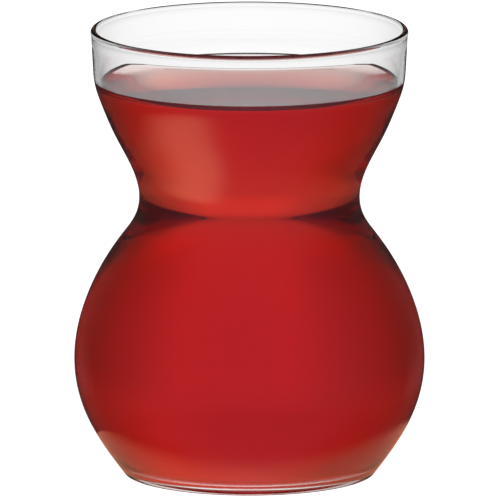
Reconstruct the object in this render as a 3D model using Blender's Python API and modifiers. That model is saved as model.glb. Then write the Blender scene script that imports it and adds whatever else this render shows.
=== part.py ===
"""A full-bellied tea glass, drawn in at the neck, and the tea that fills it to just below the rim.

Both pieces are turned about the Z axis. The glass stands on the plane z = 0, its foot centred on
the origin. Sizes are in metres.
"""

import math

import bpy
import numpy as np

# Outer wall: height above the table and radius where the shape is set
HEEL_TOP = (0.0003, 0.0226)
LOWER_BELLY = (0.0100, 0.02895)
BELLY = (0.02097, 0.0315)
UPPER_BELLY = (0.0320, 0.0293)
SHOULDER = (0.0430, 0.02315)
NECK_FOOT = (0.0460, 0.0210)
NECK = (0.0504, 0.0198)
NECK_HEAD = (0.0570, 0.02165)
LOWER_BOWL = (0.0620, 0.02425)
UPPER_BOWL = (0.0675, 0.0266)
LIP_FOOT = (0.0710, 0.02775)
LIP = (0.0745, 0.0281)
LIP_HEAD = (0.0783, 0.0283)
WALL_STATIONS = (HEEL_TOP, LOWER_BELLY, BELLY, UPPER_BELLY, SHOULDER, NECK_FOOT, NECK,
                 NECK_HEAD, LOWER_BOWL, UPPER_BOWL, LIP_FOOT, LIP, LIP_HEAD)
# Growth of the radius with height at the two ends of the wall
HEEL_SPREAD = 0.77
LIP_SPREAD = 0.04

# Rim: a bead, oval in section, that swells outwards past the lip
GLASS_HEIGHT = 0.0810
BEAD_HALF_HEIGHT = 0.0007
BEAD_OUTER_RADIUS = 0.0285
BEAD_START_ANGLE = math.radians(-35)

# Thickness of the glass
WALL_AT_FOOT = 0.0019
WALL_AT_RIM = 0.0010
FLOOR_THICKNESS = 0.0021
FLOOR_ROUNDING_TOP = 0.0042

# Foot: a flat ring round a shallow hollow
HEEL_ROUNDING = 0.0008
FOOT_HOLLOW_RADIUS = 0.0185
FOOT_HOLLOW_DEPTH = 0.0005

# Tea
TEA_LEVEL = 0.0705
TEA_CLIMB = 0.0013
TEA_CLIMB_REACH = 0.0012
FIT_GAP = 0.0003

# Fineness of the turned surfaces
TURN_STEPS = 64
WALL_STEP = 0.0032
BEAD_QUARTER_STEPS = 3
HEEL_STEPS = 3
ROUNDING_STEPS = 4
HOLLOW_STEPS = 3
CLIMB_STEPS = 4
AXIS_MERGE = 0.00001


def station_spreads(heights, radii):
    """Growth of the radius at each station, for one curve with no jump in its bending."""
    gaps = np.diff(heights)
    rises = np.diff(radii)
    count = len(heights)
    left = np.zeros((count, count))
    right = np.zeros(count)
    left[0, 0] = left[-1, -1] = 1
    right[0] = HEEL_SPREAD
    right[-1] = LIP_SPREAD
    for i in range(1, count - 1):
        below, above = gaps[i - 1], gaps[i]
        left[i, i - 1] = 1 / below
        left[i, i] = 2 / below + 2 / above
        left[i, i + 1] = 1 / above
        right[i] = 3 * (rises[i - 1] / below**2 + rises[i] / above**2)
    return np.linalg.solve(left, right)


HEIGHTS = np.array([height for height, radius in WALL_STATIONS])
RADII = np.array([radius for height, radius in WALL_STATIONS])
SPREADS = station_spreads(HEIGHTS, RADII)


def outer_wall(height):
    """Radius of the outer wall at a height, and how fast it grows there."""
    i = int(np.clip(np.searchsorted(HEIGHTS, height) - 1, 0, len(HEIGHTS) - 2))
    span = HEIGHTS[i + 1] - HEIGHTS[i]
    rise = RADII[i + 1] - RADII[i]
    t = (height - HEIGHTS[i]) / span
    start = SPREADS[i] * span - rise
    end = rise - SPREADS[i + 1] * span
    bend = start * (1 - t) + end * t
    radius = RADII[i] + rise * t + t * (1 - t) * bend
    spread = (rise + (1 - 2 * t) * bend + t * (1 - t) * (end - start)) / span
    return radius, spread


def bore(height):
    """Radius of the inner wall at a height: the outer wall less the glass, square to the wall."""
    radius, spread = outer_wall(height)
    share = height / HEIGHTS[-1]
    thickness = WALL_AT_FOOT + (WALL_AT_RIM - WALL_AT_FOOT) * share
    return radius - thickness * math.hypot(1, spread)


def wall_heights(low, high):
    """Heights from low to high, with every station between them."""
    ends = [low] + [height for height in HEIGHTS if low < height < high] + [high]
    heights = [low]
    for below, above in zip(ends, ends[1:]):
        steps = max(1, round((above - below) / WALL_STEP))
        heights += [below + (above - below) * (k + 1) / steps for k in range(steps)]
    return heights


def arc(centre, half_width, half_height, start, end, steps):
    """Points on an oval arc in the profile's plane, from one angle to the other."""
    points = []
    for k in range(steps + 1):
        angle = start + (end - start) * k / steps
        across = centre[0] + half_width * math.cos(angle)
        points.append((across, centre[1] + half_height * math.sin(angle)))
    return points


def inner_surface(top):
    """The inside of the glass from the middle of its floor up to a height."""
    join = FLOOR_ROUNDING_TOP
    sample = join / 100
    lean = (bore(join + sample) - bore(join - sample)) / (2 * sample)
    slope = math.atan2(1, lean)
    rounding = (join - FLOOR_THICKNESS) / (1 - math.cos(slope))
    centre = (bore(join) - rounding * math.sin(slope), FLOOR_THICKNESS + rounding)
    floor = arc(centre, rounding, rounding, -math.pi / 2, slope - math.pi / 2, ROUNDING_STEPS)
    wall = [(bore(height), height) for height in wall_heights(join, top)]
    return [(0, FLOOR_THICKNESS)] + floor + wall[1:]


def rim_bead():
    """The rim, from the top of the inner wall over to where the lip swells into it."""
    inner_radius = bore(LIP_HEAD[0])
    half_width = (BEAD_OUTER_RADIUS - inner_radius) / 2
    centre = (inner_radius + half_width, GLASS_HEIGHT - BEAD_HALF_HEIGHT)
    size = (half_width, BEAD_HALF_HEIGHT)
    inside = arc(centre, *size, math.pi, math.pi / 2, BEAD_QUARTER_STEPS)
    outside = arc(centre, *size, math.pi / 2, BEAD_START_ANGLE, BEAD_QUARTER_STEPS + 1)
    return inside + outside[1:]


def outer_surface():
    """The outer wall from the lip down to the top of the heel."""
    heights = wall_heights(HEEL_TOP[0], LIP_HEAD[0])
    return [(outer_wall(height)[0], height) for height in reversed(heights)]


def foot():
    """The heel's rounding, the flat ring and the shallow hollow, as far as the axis."""
    lean = math.atan(HEEL_SPREAD)
    flat_radius = HEEL_TOP[1] - HEEL_ROUNDING * math.cos(lean)
    centre = (flat_radius, HEEL_ROUNDING)
    heel = arc(centre, HEEL_ROUNDING, HEEL_ROUNDING, -lean, -math.pi / 2, HEEL_STEPS)
    hollow = []
    for k in range(HOLLOW_STEPS + 1):
        share = 1 - k / HOLLOW_STEPS
        hollow.append((FOOT_HOLLOW_RADIUS * share, FOOT_HOLLOW_DEPTH * (1 - share**2)))
    return heel[1:] + hollow


def glass_profile():
    return inner_surface(LIP_HEAD[0]) + rim_bead() + outer_surface() + foot()


def inset(points, distance):
    """The points moved off the glass, square to the line that they draw."""
    line = np.array(points)
    along = np.gradient(line, axis=0)
    along[0] = (1, 0)
    along /= np.linalg.norm(along, axis=1)[:, None]
    return [(r - distance * dz, z + distance * dr) for (r, z), (dr, dz) in zip(line, along)]


def tea_surface(edge_radius):
    """The top of the tea: level in the middle, climbing where it meets the glass."""
    points = [(0, TEA_LEVEL)]
    flat_radius = edge_radius - CLIMB_STEPS * TEA_CLIMB_REACH
    for k in range(CLIMB_STEPS):
        radius = flat_radius + (edge_radius - flat_radius) * k / CLIMB_STEPS
        climb = TEA_CLIMB * math.exp((radius - edge_radius) / TEA_CLIMB_REACH)
        points.append((radius, TEA_LEVEL + climb))
    return points


def tea_profile():
    side = inset(inner_surface(TEA_LEVEL + TEA_CLIMB), FIT_GAP)
    side.reverse()
    return tea_surface(side[0][0]) + side


def turned(name, profile, material, collection):
    """A solid of revolution about Z, from a profile that runs down its outer side."""
    mesh = bpy.data.meshes.new(name)
    edges = [(i, i + 1) for i in range(len(profile) - 1)]
    mesh.from_pydata([(r, 0, z) for r, z in profile], edges, [])
    mesh.materials.append(material)
    piece = bpy.data.objects.new(name, mesh)
    collection.objects.link(piece)
    screw = piece.modifiers.new("turn", "SCREW")
    screw.axis = "Z"
    screw.angle = 2 * math.pi
    screw.steps = TURN_STEPS
    screw.render_steps = TURN_STEPS
    screw.use_merge_vertices = True
    screw.merge_threshold = AXIS_MERGE
    screw.use_smooth_shade = True
    return piece


def clear_material(name, color, ior, roughness):
    """A see-through material of one colour."""
    material = bpy.data.materials.new(name)
    material.use_nodes = True
    shader = material.node_tree.nodes["Principled BSDF"]
    shader.inputs["Base Color"].default_value = (*color, 1)
    shader.inputs["Metallic"].default_value = 0
    shader.inputs["Roughness"].default_value = roughness
    shader.inputs["IOR"].default_value = ior
    shader.inputs["Transmission Weight"].default_value = 1
    material.diffuse_color = (*color, 1)
    return material


def build():
    for old in list(bpy.data.objects):
        bpy.data.objects.remove(old, do_unlink=True)
    collection = bpy.data.collections.new("turkish_tea_glass")
    bpy.context.scene.collection.children.link(collection)
    glass = clear_material("clear_glass", (0.93, 0.95, 0.95), 1.52, 0.02)
    tea = clear_material("black_tea", (0.50, 0.012, 0.016), 1.333, 0.03)
    turned("glass", glass_profile(), glass, collection)
    turned("tea", tea_profile(), tea, collection)


build()
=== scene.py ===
"""Looks of the tea glass: finely turned clear glass, dark red tea, and a bright-field studio."""

import math

import bpy
import numpy as np
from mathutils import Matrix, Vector


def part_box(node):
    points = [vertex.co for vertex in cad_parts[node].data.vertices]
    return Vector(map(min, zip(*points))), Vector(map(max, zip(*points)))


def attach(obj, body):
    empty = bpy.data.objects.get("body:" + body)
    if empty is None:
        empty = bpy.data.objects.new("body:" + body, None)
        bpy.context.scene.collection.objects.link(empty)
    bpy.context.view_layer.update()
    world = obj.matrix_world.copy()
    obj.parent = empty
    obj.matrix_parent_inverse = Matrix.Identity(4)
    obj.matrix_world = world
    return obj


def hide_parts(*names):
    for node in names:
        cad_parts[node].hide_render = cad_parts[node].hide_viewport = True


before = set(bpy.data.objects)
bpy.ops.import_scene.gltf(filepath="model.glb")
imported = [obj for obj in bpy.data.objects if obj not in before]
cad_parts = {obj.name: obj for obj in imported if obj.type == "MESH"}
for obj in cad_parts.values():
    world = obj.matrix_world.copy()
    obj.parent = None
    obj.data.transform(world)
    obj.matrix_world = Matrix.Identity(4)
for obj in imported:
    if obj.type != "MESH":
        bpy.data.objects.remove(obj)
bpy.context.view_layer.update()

# Outer wall of the glass: height and radius where the shape is set, as in the part's source
WALL_STATIONS = (
    (0.0003, 0.0226),
    (0.0100, 0.02895),
    (0.02097, 0.0315),
    (0.0320, 0.0293),
    (0.0430, 0.02315),
    (0.0460, 0.0210),
    (0.0504, 0.0198),
    (0.0570, 0.02165),
    (0.0620, 0.02425),
    (0.0675, 0.0266),
    (0.0710, 0.02775),
    (0.0745, 0.0281),
    (0.0783, 0.0283),
)
HEEL_SPREAD = 0.77
LIP_SPREAD = 0.04

# Rim bead, wall thickness and foot
GLASS_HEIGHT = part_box("glass")[1][2]
BEAD_HALF_HEIGHT = 0.0007
BEAD_OUTER_RADIUS = 0.0285
BEAD_START_ANGLE = math.radians(-35)
WALL_AT_FOOT = 0.0019
WALL_AT_RIM = 0.0010
FLOOR_THICKNESS = 0.0021
FLOOR_ROUNDING_TOP = 0.0042
HEEL_ROUNDING = 0.0008
FOOT_HOLLOW_RADIUS = 0.0185
FOOT_HOLLOW_DEPTH = 0.0005

# Tea, which reaches a hair's breadth into the glass so that no air shows between them
TEA_LEVEL = 0.0705
TEA_CLIMB = 0.0013
TEA_CLIMB_REACH = 0.0012
CLIMB_SPAN = 6  # how many reaches from the wall the climb is modelled over
TEA_BITE = 0.00006

# Fineness of the turned surfaces
TURN_STEPS = 256
WALL_STEP = 0.0006
BEAD_QUARTER_STEPS = 12
HEEL_STEPS = 8
ROUNDING_STEPS = 14
HOLLOW_STEPS = 16
CLIMB_STEPS = 24
SLOPE_SAMPLE = FLOOR_ROUNDING_TOP / 100
AXIS_MERGE = 0.000001

# Colours
WHITE = (1, 1, 1, 1)
BLACK = (0, 0, 0, 1)

# Glass: how much it bends light, the faint waviness that moulding leaves, and its dullest polish
GLASS_REFRACTION = 1.52
WAVE_SCALE = 90
WAVE_DETAIL = 1
WAVE_STRENGTH = 0.05
WAVE_HEIGHT = 0.0001
DULLEST_POLISH = 0.02

# Mirror strength against air, and where tea wets the glass
FULL_MIRROR = 1
WET_MIRROR = 0.07

# Tea: how much it bends light, and how much of red, green and blue light a metre of it absorbs.
# The density only scales the three, and is above the largest of them.
TEA_REFRACTION = 1.333
TEA_ABSORPTION = (12.5, 105.0, 135.0)
TEA_DENSITY = 140.0

# Studio: brightness by compass direction, in degrees from straight behind the glass and positive
# to its right, for light that comes from high up, about level, a little below and well below.
# A smooth curve runs close to the values, and not quite through them.
LIGHT_FROM_HIGH = (
    (-180, 0.70), (-120, 0.60), (-70, 0.42), (-46, 0.36), (-33, 0.42), (-25, 0.46), (-19, 0.50),
    (-15, 0.60), (-8, 0.78), (0, 1.00), (8, 1.18), (15, 1.12), (21, 0.90), (28, 0.70), (36, 0.52),
    (46, 0.42), (70, 0.42), (120, 0.60), (180, 0.70),
)
LIGHT_FROM_LEVEL = (
    (-180, 0.75), (-130, 0.70), (-90, 0.48), (-58, 0.34), (-46, 0.40), (-36, 0.52), (-28, 0.60),
    (-21, 0.68), (-14, 0.76), (-8, 0.80), (-2, 0.82), (4, 0.84), (10, 0.88), (15, 0.91),
    (19, 0.86), (24, 0.75), (30, 0.61), (38, 0.50), (48, 0.41), (60, 0.34), (90, 0.48),
    (130, 0.70), (180, 0.75),
)
LIGHT_FROM_BELOW = (
    (-180, 0.75), (-130, 0.70), (-90, 0.45), (-60, 0.27), (-46, 0.28), (-37, 0.37), (-30, 0.47),
    (-24, 0.56), (-19, 0.64), (-14, 0.76), (-9, 0.94), (-4, 1.16), (3, 1.24), (8, 1.14),
    (12.5, 0.99), (17, 0.83), (22, 0.67), (28, 0.54), (34, 0.43), (42, 0.33), (52, 0.27),
    (90, 0.45), (130, 0.70), (180, 0.75),
)
LIGHT_FROM_DEEP = (
    (-180, 0.30), (-100, 0.10), (-60, 0.12), (-36, 0.36), (-27, 0.60), (-20, 0.82), (-13, 0.86),
    (-6, 0.88), (0, 0.90), (8, 0.92), (15, 0.98), (22, 1.00), (29, 0.70), (37, 0.44),
    (60, 0.12), (100, 0.10), (180, 0.30),
)
# Upward part of a ray's direction over which each of them gives way to the next
HIGH_TO_LEVEL = (0.32, 0.20)
LEVEL_TO_BELOW = (0.06, -0.12)
BELOW_TO_DEEP = (-0.44, -0.60)
# Under the foot it is dark: there the table lies in the shade of the glass
DEEP_TO_FOOT = (-0.59, -0.98)
UNDER_FOOT_LIGHT = 0.06

# What the glass mirrors: dim and cool from the camera's side, almost nothing from elsewhere
FRONT_MIRRORED = (0.24, 0.25, 0.37, 1)
SIDE_MIRRORED = (0.03, 0.022, 0.02, 1)
FRONT_SHARE = (
    (-180, 1.00), (-140, 0.95), (-118, 0.80), (-95, 0.40), (-72, 0.12), (-45, 0.00), (0, 0.00),
    (45, 0.00), (72, 0.12), (95, 0.40), (118, 0.80), (140, 0.95), (180, 1.00),
)

# Bands round the glass, which only its mirrored or its clear rays meet. Each runs between two
# circles, given by radius and height, over a stretch of directions. Its share is its strength
# by direction, and its fade the distances or heights where it starts and where it is full.

# Warm card on the table at the front left, whose edges turn with the distance, in radians per
# metre, and the dark flag that hides it from the belly
CARD_COLOR = (1.7, 1.05, 0.62, 1)
CARD_SHARE = (
    (-180, 0.00), (-164, 0.00), (-154, 0.35), (-144, 0.90), (-130, 1.05), (-114, 0.90),
    (-100, 0.50), (-84, 0.15), (-60, 0.00), (0, 0.00), (180, 0.00),
)
CARD_NEAR = (0.040, 0.001)
CARD_FAR = (0.260, 0.001)
CARD_FADE = (0.118, 0.082)
CARD_TWIST = math.radians(120)
CARD_TURNS = (-175, -50)
FLAG_FOOT = (0.036, 0.0)
FLAG_HEAD = (0.036, 0.0234)
FLAG_TURNS = (-180, -60)
FLAG_SHARE = (
    (-180, 1.00), (-157, 0.95), (-144, 0.80), (-131, 0.40), (-117, 0.12), (-101, 0.00),
    (0, 0.00), (180, 0.00),
)

# Table round the foot, lit warm through the tea; the lowest part of the belly mirrors it. Its
# light fades out round a point a little behind the axis.
POOL_COLOR = (0.95, 0.60, 0.36, 1)
POOL_SIDE_COLOR = (0.60, 0.22, 0.13, 1)
POOL_SHARE = (
    (-180, 1.00), (-150, 0.85), (-125, 0.25), (-100, 0.00), (0, 0.00), (100, 0.00),
    (125, 0.25), (150, 0.85), (180, 1.00),
)
POOL_FOOT = (0.0228, 0.0008)
POOL_HEAD = (0.046, 0.0008)
POOL_TURNS = (-180, 180)
POOL_BEHIND = 0.010
POOL_FADE = (0.0412, 0.0345)

# Glow of the table just behind the foot, which shows through the lowest part of the belly
GLOW_FOOT = (0.050, 0.004)
GLOW_HEAD = (0.050, 0.028)
GLOW_TURNS = (-80, 80)
GLOW_FADE = (0.026, 0.014)
GLOW_SHARE = (
    (-180, 0.00), (-80, 0.30), (-40, 0.30), (-26, 0.15), (-12, 0.00), (0, 0.00), (12, 0.06),
    (22, 0.25), (34, 0.42), (80, 0.45), (180, 0.00),
)
BAND_STEPS = 48

# Floor: pale, evenly lit, and a hair below the foot so that the two never share a plane
FLOOR_RADIUS = 0.9
FLOOR_HEIGHT = -0.0002
FLOOR_CORNERS = 128
FLOOR_PALENESS = 0.9
FLOOR_ROUGHNESS = 0.9
FLOOR_GLOW = 1.1

# Camera: far off, looking slightly down; the picture spans this width at the glass
PICTURE_WIDTH = 0.0898
CAMERA_LENS = 1650.0
SENSOR_WIDTH = 36.0
CAMERA_ELEVATION = math.radians(10.65)
CAMERA_TARGET = Vector((0.0001, 0, 0.0406))
CAMERA_CLIP = (0.1, 3)  # nearest and farthest that it sees, as shares of its distance

# How often light may turn inside the wall and the tea
LIGHT_BOUNCES = 32
MIRROR_BOUNCES = 16


def station_spreads(heights, radii):
    """Growth of the radius at each station, for one curve with no jump in its bending."""
    gaps = np.diff(heights)
    rises = np.diff(radii)
    count = len(heights)
    left = np.zeros((count, count))
    right = np.zeros(count)
    left[0, 0] = left[-1, -1] = 1
    right[0] = HEEL_SPREAD
    right[-1] = LIP_SPREAD
    for i in range(1, count - 1):
        below, above = gaps[i - 1], gaps[i]
        left[i, i - 1] = 1 / below
        left[i, i] = 2 / below + 2 / above
        left[i, i + 1] = 1 / above
        right[i] = 3 * (rises[i - 1] / below**2 + rises[i] / above**2)
    return np.linalg.solve(left, right)


HEIGHTS = np.array([height for height, radius in WALL_STATIONS])
RADII = np.array([radius for height, radius in WALL_STATIONS])
SPREADS = station_spreads(HEIGHTS, RADII)


def outer_wall(height):
    """Radius of the outer wall at a height, and how fast it grows there."""
    i = int(np.clip(np.searchsorted(HEIGHTS, height) - 1, 0, len(HEIGHTS) - 2))
    span = HEIGHTS[i + 1] - HEIGHTS[i]
    rise = RADII[i + 1] - RADII[i]
    t = (height - HEIGHTS[i]) / span
    start = SPREADS[i] * span - rise
    end = rise - SPREADS[i + 1] * span
    bend = start * (1 - t) + end * t
    radius = RADII[i] + rise * t + t * (1 - t) * bend
    spread = (rise + (1 - 2 * t) * bend + t * (1 - t) * (end - start)) / span
    return radius, spread


def bore(height):
    """Radius of the inner wall at a height: the outer wall less the glass, square to the wall."""
    radius, spread = outer_wall(height)
    share = height / HEIGHTS[-1]
    thickness = WALL_AT_FOOT + (WALL_AT_RIM - WALL_AT_FOOT) * share
    return radius - thickness * math.hypot(1, spread)


def wall_heights(low, high):
    """Heights from low to high, with every station between them."""
    ends = [low] + [height for height in HEIGHTS if low < height < high] + [high]
    heights = [low]
    for below, above in zip(ends, ends[1:]):
        steps = max(1, round((above - below) / WALL_STEP))
        heights += [below + (above - below) * (k + 1) / steps for k in range(steps)]
    return heights


def arc(centre, half_width, half_height, start, end, steps):
    """Points on an oval arc in the profile's plane, from one angle to the other."""
    points = []
    for k in range(steps + 1):
        angle = start + (end - start) * k / steps
        across = centre[0] + half_width * math.cos(angle)
        points.append((across, centre[1] + half_height * math.sin(angle)))
    return points


def inner_surface(top):
    """The inside of the glass from the middle of its floor up to a height."""
    join = FLOOR_ROUNDING_TOP
    rise = bore(join + SLOPE_SAMPLE) - bore(join - SLOPE_SAMPLE)
    lean = rise / (2 * SLOPE_SAMPLE)
    slope = math.atan2(1, lean)
    rounding = (join - FLOOR_THICKNESS) / (1 - math.cos(slope))
    centre = (bore(join) - rounding * math.sin(slope), FLOOR_THICKNESS + rounding)
    floor = arc(centre, rounding, rounding, -math.pi / 2, slope - math.pi / 2, ROUNDING_STEPS)
    wall = [(bore(height), height) for height in wall_heights(join, top)]
    return [(0, FLOOR_THICKNESS)] + floor + wall[1:]


def rim_bead():
    """The rim, from the top of the inner wall over to where the lip swells into it."""
    inner_radius = bore(HEIGHTS[-1])
    half_width = (BEAD_OUTER_RADIUS - inner_radius) / 2
    centre = (inner_radius + half_width, GLASS_HEIGHT - BEAD_HALF_HEIGHT)
    size = (half_width, BEAD_HALF_HEIGHT)
    inside = arc(centre, *size, math.pi, math.pi / 2, BEAD_QUARTER_STEPS)
    outside = arc(centre, *size, math.pi / 2, BEAD_START_ANGLE, BEAD_QUARTER_STEPS)
    return inside + outside[1:]


def outer_surface():
    """The outer wall from the lip down to the top of the heel."""
    heights = wall_heights(HEIGHTS[0], HEIGHTS[-1])
    return [(outer_wall(height)[0], height) for height in reversed(heights)]


def foot():
    """The heel's rounding, the flat ring and the shallow hollow, as far as the axis."""
    lean = math.atan(HEEL_SPREAD)
    flat_radius = RADII[0] - HEEL_ROUNDING * math.cos(lean)
    centre = (flat_radius, HEEL_ROUNDING)
    heel = arc(centre, HEEL_ROUNDING, HEEL_ROUNDING, -lean, -math.pi / 2, HEEL_STEPS)
    hollow = []
    for k in range(HOLLOW_STEPS + 1):
        share = 1 - k / HOLLOW_STEPS
        hollow.append((FOOT_HOLLOW_RADIUS * share, FOOT_HOLLOW_DEPTH * (1 - share**2)))
    return heel[1:] + hollow


def glass_profile():
    """The whole outline of the glass, from the middle of its floor over the rim to the axis."""
    return inner_surface(HEIGHTS[-1]) + rim_bead() + outer_surface() + foot()


def inset(points, distance):
    """The points moved off the glass, square to the line that they draw."""
    line = np.array(points)
    along = np.gradient(line, axis=0)
    along[0] = (1, 0)
    along /= np.linalg.norm(along, axis=1)[:, None]
    return [(r - distance * dz, z + distance * dr) for (r, z), (dr, dz) in zip(line, along)]


def tea_surface(edge_radius):
    """The top of the tea: level in the middle, climbing where it meets the glass."""
    points = [(0, TEA_LEVEL)]
    flat_radius = edge_radius - CLIMB_SPAN * TEA_CLIMB_REACH
    for k in range(CLIMB_STEPS):
        share = k / CLIMB_STEPS
        radius = flat_radius + (edge_radius - flat_radius) * (1 - (1 - share) ** 2)
        climb = TEA_CLIMB * math.exp((radius - edge_radius) / TEA_CLIMB_REACH)
        points.append((radius, TEA_LEVEL + climb))
    return points


def tea_profile():
    """The outline of the tea, from the middle of its top down its side to the axis."""
    side = inset(inner_surface(TEA_LEVEL + TEA_CLIMB), -TEA_BITE)
    side.reverse()
    return tea_surface(side[0][0]) + side


def turned(name, profile, material):
    """A solid of revolution about Z, from a profile that starts and ends on the axis."""
    mesh = bpy.data.meshes.new(name)
    edges = [(i, i + 1) for i in range(len(profile) - 1)]
    mesh.from_pydata([(r, 0, z) for r, z in profile], edges, [])
    mesh.materials.append(material)
    piece = bpy.data.objects.new(name, mesh)
    bpy.context.scene.collection.objects.link(piece)
    screw = piece.modifiers.new("turn", "SCREW")
    screw.axis = "Z"
    screw.angle = 2 * math.pi
    screw.steps = TURN_STEPS
    screw.render_steps = TURN_STEPS
    screw.use_merge_vertices = True
    screw.merge_threshold = AXIS_MERGE
    screw.use_smooth_shade = True
    depsgraph = bpy.context.evaluated_depsgraph_get()
    piece.data = bpy.data.meshes.new_from_object(piece.evaluated_get(depsgraph))
    piece.modifiers.clear()
    return piece


def grey(value):
    """A colour with the same red, green and blue."""
    return (value, value, value, 1)


def feed(tree, socket, value):
    """Sets a node's input to a constant, or joins it to another node's output."""
    if isinstance(value, bpy.types.NodeSocket):
        tree.links.new(value, socket)
    else:
        socket.default_value = value


def math_node(tree, operation, first, second=0):
    """A number worked out from one or two, each a constant or another node's output."""
    node = tree.nodes.new("ShaderNodeMath")
    node.operation = operation
    feed(tree, node.inputs[0], first)
    feed(tree, node.inputs[1], second)
    return node.outputs["Value"]


def mixed(tree, share, color, other):
    """One colour, turning into the other as the share goes from 0 to 1."""
    node = tree.nodes.new("ShaderNodeMix")
    node.data_type = "RGBA"
    feed(tree, node.inputs["Factor"], share)
    feed(tree, node.inputs["A"], color)
    feed(tree, node.inputs["B"], other)
    return node.outputs["Result"]


def faded(tree, value, span):
    """A share that goes smoothly from 0 to 1 as the value goes from one end to the other."""
    fade = tree.nodes.new("ShaderNodeMapRange")
    fade.interpolation_type = "SMOOTHSTEP"
    fade.inputs["From Min"].default_value, fade.inputs["From Max"].default_value = span
    tree.links.new(value, fade.inputs["Value"])
    return fade.outputs["Result"]


def coordinates(tree, kind):
    """X, Y and Z of a point or of a ray's direction, as outputs of a node."""
    place = tree.nodes.new("ShaderNodeTexCoord")
    split = tree.nodes.new("ShaderNodeSeparateXYZ")
    tree.links.new(place.outputs[kind], split.inputs["Vector"])
    return split.outputs


def compass(tree, spot):
    """Direction from the axis: 0 straight behind the glass, positive to its right."""
    return math_node(tree, "ARCTAN2", spot["X"], spot["Y"])


def distance_from(tree, spot, behind):
    """Level distance from a point straight behind the glass's axis, by this much."""
    depth = math_node(tree, "SUBTRACT", spot["Y"], behind)
    across = math_node(tree, "MULTIPLY", spot["X"], spot["X"])
    along = math_node(tree, "MULTIPLY", depth, depth)
    return math_node(tree, "SQRT", math_node(tree, "ADD", across, along))


def light_ring(tree, azimuth, stops):
    """Brightness by compass direction, from stops of (degrees from behind the glass, value)."""
    turn = tree.nodes.new("ShaderNodeMapRange")
    turn.inputs["From Min"].default_value = -math.pi
    turn.inputs["From Max"].default_value = math.pi
    tree.links.new(azimuth, turn.inputs["Value"])
    ring = tree.nodes.new("ShaderNodeValToRGB")
    ramp = ring.color_ramp
    ramp.interpolation = "B_SPLINE"
    while len(ramp.elements) < len(stops):
        ramp.elements.new(0.5)
    for element, (degrees, value) in zip(ramp.elements, stops):
        element.position = (degrees + 180) / 360
        element.color = grey(value)
    tree.links.new(turn.outputs["Result"], ring.inputs["Fac"])
    return ring.outputs["Color"]


def new_material(name):
    """A material, its node tree and its main shader."""
    material = bpy.data.materials.new(name)
    material.use_nodes = True
    tree = material.node_tree
    return material, tree, tree.nodes["Principled BSDF"]


def glass_material(name, mirrors):
    """Clear soda-lime glass with the faint waviness that moulding leaves."""
    material, tree, shader = new_material(name)
    shader.inputs["Base Color"].default_value = WHITE
    shader.inputs["IOR"].default_value = GLASS_REFRACTION
    shader.inputs["Specular Tint"].default_value = grey(mirrors)
    shader.inputs["Transmission Weight"].default_value = 1
    place = tree.nodes.new("ShaderNodeTexCoord")
    waves = tree.nodes.new("ShaderNodeTexNoise")
    waves.inputs["Scale"].default_value = WAVE_SCALE
    waves.inputs["Detail"].default_value = WAVE_DETAIL
    tree.links.new(place.outputs["Object"], waves.inputs["Vector"])
    bump = tree.nodes.new("ShaderNodeBump")
    bump.inputs["Strength"].default_value = WAVE_STRENGTH
    bump.inputs["Distance"].default_value = WAVE_HEIGHT
    tree.links.new(waves.outputs["Fac"], bump.inputs["Height"])
    tree.links.new(bump.outputs["Normal"], shader.inputs["Normal"])
    polish = tree.nodes.new("ShaderNodeMapRange")
    polish.inputs["To Max"].default_value = DULLEST_POLISH
    tree.links.new(waves.outputs["Fac"], polish.inputs["Value"])
    tree.links.new(polish.outputs["Result"], shader.inputs["Roughness"])
    return material


def wet_part(glass):
    """Gives the wall and floor that the tea wets their own glass, which mirrors almost nothing."""
    glass.data.materials.append(glass_material("wetted_glass", WET_MIRROR))
    for face in glass.data.polygons:
        height = face.center.z
        depth = outer_wall(height)[0] - math.hypot(face.center.x, face.center.y)
        inside = depth > WALL_AT_RIM / 2 and height > FLOOR_THICKNESS / 2
        face.material_index = int(inside and height < TEA_LEVEL + TEA_CLIMB)


def tea_material():
    """Clear tea: it takes out blue and green light over the length that light travels in it."""
    material, tree, shader = new_material("black_tea")
    shader.inputs["Base Color"].default_value = WHITE
    shader.inputs["Roughness"].default_value = 0
    shader.inputs["IOR"].default_value = TEA_REFRACTION
    shader.inputs["Transmission Weight"].default_value = 1
    height = coordinates(tree, "Object")["Z"]
    open_top = math_node(tree, "GREATER_THAN", height, TEA_LEVEL - TEA_BITE)
    mirrors = mixed(tree, open_top, grey(WET_MIRROR), grey(FULL_MIRROR))
    tree.links.new(mirrors, shader.inputs["Specular Tint"])
    absorption = tree.nodes.new("ShaderNodeVolumeAbsorption")
    share = [1 - value / TEA_DENSITY for value in TEA_ABSORPTION]
    absorption.inputs["Color"].default_value = (*share, 1)
    absorption.inputs["Density"].default_value = TEA_DENSITY
    tree.links.new(absorption.outputs["Volume"], tree.nodes["Material Output"].inputs["Volume"])
    return material


def floor_material():
    """A pale table that glows evenly, as under bright-field light."""
    material, _, shader = new_material("pale_floor")
    shader.inputs["Base Color"].default_value = grey(FLOOR_PALENESS)
    shader.inputs["Roughness"].default_value = FLOOR_ROUGHNESS
    shader.inputs["Specular IOR Level"].default_value = 0
    shader.inputs["Emission Color"].default_value = WHITE
    shader.inputs["Emission Strength"].default_value = FLOOR_GLOW
    return material


def add_floor():
    """The table, which only the camera sees: the glass gets its light from the rings and bands."""
    bpy.ops.mesh.primitive_circle_add(
        vertices=FLOOR_CORNERS, radius=FLOOR_RADIUS, fill_type="NGON"
    )
    floor = bpy.context.object
    floor.name = "floor"
    floor.location.z = FLOOR_HEIGHT
    floor.data.materials.append(floor_material())
    floor.visible_glossy = False
    floor.visible_transmission = False


def bare_material(name):
    """A material with only its output node, its node tree and the place of each point on it."""
    material, tree, shader = new_material(name)
    tree.nodes.remove(shader)
    return material, tree, coordinates(tree, "Object")


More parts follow.
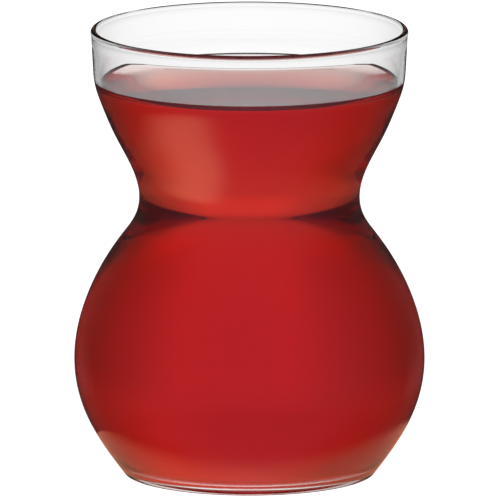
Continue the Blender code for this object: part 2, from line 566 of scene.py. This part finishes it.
def add_to_view(tree, light, strength):
    """Makes the surface clear and adds this light to what is seen through it."""
    glow = tree.nodes.new("ShaderNodeEmission")
    tree.links.new(light, glow.inputs["Color"])
    tree.links.new(strength, glow.inputs["Strength"])
    clear = tree.nodes.new("ShaderNodeBsdfTransparent")
    both = tree.nodes.new("ShaderNodeAddShader")
    tree.links.new(glow.outputs["Emission"], both.inputs[0])
    tree.links.new(clear.outputs["BSDF"], both.inputs[1])
    tree.links.new(both.outputs["Shader"], tree.nodes["Material Output"].inputs["Surface"])


def card_material():
    """Warm light that fades out sideways, along edges that turn outwards over the card."""
    material, tree, spot = bare_material("card_glow")
    radius = distance_from(tree, spot, 0)
    past = math_node(tree, "SUBTRACT", radius, CARD_NEAR[0])
    twist = math_node(tree, "MULTIPLY", past, CARD_TWIST)
    turned_back = math_node(tree, "SUBTRACT", compass(tree, spot), twist)
    light = mixed(tree, light_ring(tree, turned_back, CARD_SHARE), BLACK, CARD_COLOR)
    add_to_view(tree, light, faded(tree, radius, CARD_FADE))
    return material


def flag_material():
    """The same dim light that the glass mirrors from the studio in that direction."""
    material, tree, spot = bare_material("flag")
    share = light_ring(tree, compass(tree, spot), FLAG_SHARE)
    glow = tree.nodes.new("ShaderNodeEmission")
    tree.links.new(mixed(tree, share, SIDE_MIRRORED, FRONT_MIRRORED), glow.inputs["Color"])
    tree.links.new(glow.outputs["Emission"], tree.nodes["Material Output"].inputs["Surface"])
    return material


def pool_material():
    """Warm light round the foot that fades out over the table."""
    material, tree, spot = bare_material("foot_pool")
    share = light_ring(tree, compass(tree, spot), POOL_SHARE)
    light = mixed(tree, share, POOL_SIDE_COLOR, POOL_COLOR)
    add_to_view(tree, light, faded(tree, distance_from(tree, spot, POOL_BEHIND), POOL_FADE))
    return material


def glow_material():
    """Light added to what lies behind, strongest low down and to the sides."""
    material, tree, spot = bare_material("table_glow")
    light = light_ring(tree, compass(tree, spot), GLOW_SHARE)
    add_to_view(tree, light, faded(tree, spot["Z"], GLOW_FADE))
    return material


def band(name, foot, head, turns, material):
    """A stage piece: a strip round the glass between two circles, each a radius and a height."""
    start, end = turns
    points = []
    for radius, height in (foot, head):
        for k in range(BAND_STEPS + 1):
            angle = math.radians(start + (end - start) * k / BAND_STEPS)
            points.append((radius * math.sin(angle), radius * math.cos(angle), height))
    row = BAND_STEPS + 1
    faces = [(k, k + 1, row + k + 1, row + k) for k in range(BAND_STEPS)]
    mesh = bpy.data.meshes.new(name)
    mesh.from_pydata(points, [], faces)
    mesh.materials.append(material)
    piece = bpy.data.objects.new(name, mesh)
    bpy.context.scene.collection.objects.link(piece)
    piece.visible_camera = False
    piece.visible_diffuse = False
    piece.visible_shadow = False
    return piece


def add_bands():
    """The glass mirrors the card, the pool and the flag, and shows the glow through itself."""
    card = band("front_card", CARD_NEAR, CARD_FAR, CARD_TURNS, card_material())
    pool = band("foot_pool", POOL_FOOT, POOL_HEAD, POOL_TURNS, pool_material())
    flag = band("front_flag", FLAG_FOOT, FLAG_HEAD, FLAG_TURNS, flag_material())
    glow = band("table_glow", GLOW_FOOT, GLOW_HEAD, GLOW_TURNS, glow_material())
    for mirrored in (card, pool, flag):
        mirrored.visible_transmission = False
    glow.visible_glossy = False


def add_world():
    """Light through the glass is bright behind it; what the glass mirrors is mostly dark."""
    world = bpy.data.worlds.new("studio")
    bpy.context.scene.world = world
    world.use_nodes = True
    tree = world.node_tree
    ray = coordinates(tree, "Generated")
    azimuth = compass(tree, ray)
    through = light_ring(tree, azimuth, LIGHT_FROM_HIGH)
    for span, light in (
        (HIGH_TO_LEVEL, light_ring(tree, azimuth, LIGHT_FROM_LEVEL)),
        (LEVEL_TO_BELOW, light_ring(tree, azimuth, LIGHT_FROM_BELOW)),
        (BELOW_TO_DEEP, light_ring(tree, azimuth, LIGHT_FROM_DEEP)),
        (DEEP_TO_FOOT, grey(UNDER_FOOT_LIGHT)),
    ):
        through = mixed(tree, faded(tree, ray["Z"], span), through, light)
    front = light_ring(tree, azimuth, FRONT_SHARE)
    mirrored = mixed(tree, front, SIDE_MIRRORED, FRONT_MIRRORED)
    path = tree.nodes.new("ShaderNodeLightPath")
    lit = mixed(tree, path.outputs["Is Transmission Ray"], mirrored, through)
    seen = mixed(tree, path.outputs["Is Camera Ray"], lit, WHITE)
    background = tree.nodes["Background"]
    tree.links.new(seen, background.inputs["Color"])
    background.inputs["Strength"].default_value = 1


def add_camera():
    """A long lens far away, so that the picture has almost no perspective."""
    camera = bpy.data.cameras.new("camera")
    camera.sensor_width = SENSOR_WIDTH
    camera.lens = CAMERA_LENS
    away = CAMERA_LENS / SENSOR_WIDTH * PICTURE_WIDTH
    camera.clip_start, camera.clip_end = (away * share for share in CAMERA_CLIP)
    direction = Vector((0, -math.cos(CAMERA_ELEVATION), math.sin(CAMERA_ELEVATION)))
    stand = bpy.data.objects.new("camera", camera)
    stand.location = CAMERA_TARGET + direction * away
    stand.rotation_euler = (-direction).to_track_quat("-Z", "Y").to_euler()
    bpy.context.scene.collection.objects.link(stand)
    bpy.context.scene.camera = stand


def set_view():
    """Plain colours, and enough bounces for light that turns many times in clear things."""
    scene = bpy.context.scene
    scene.view_settings.view_transform = "Standard"
    scene.cycles.max_bounces = LIGHT_BOUNCES
    scene.cycles.transmission_bounces = LIGHT_BOUNCES
    scene.cycles.glossy_bounces = MIRROR_BOUNCES
    scene.cycles.volume_bounces = 0


def main():
    set_view()
    add_world()
    add_floor()
    add_bands()
    add_camera()
    glass = turned("glass_turned", glass_profile(), glass_material("clear_glass", FULL_MIRROR))
    wet_part(glass)
    tea = turned("tea_poured", tea_profile(), tea_material())
    for piece, node in ((glass, "glass"), (tea, "tea")):
        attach(piece, "root")
        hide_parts(node)


main()
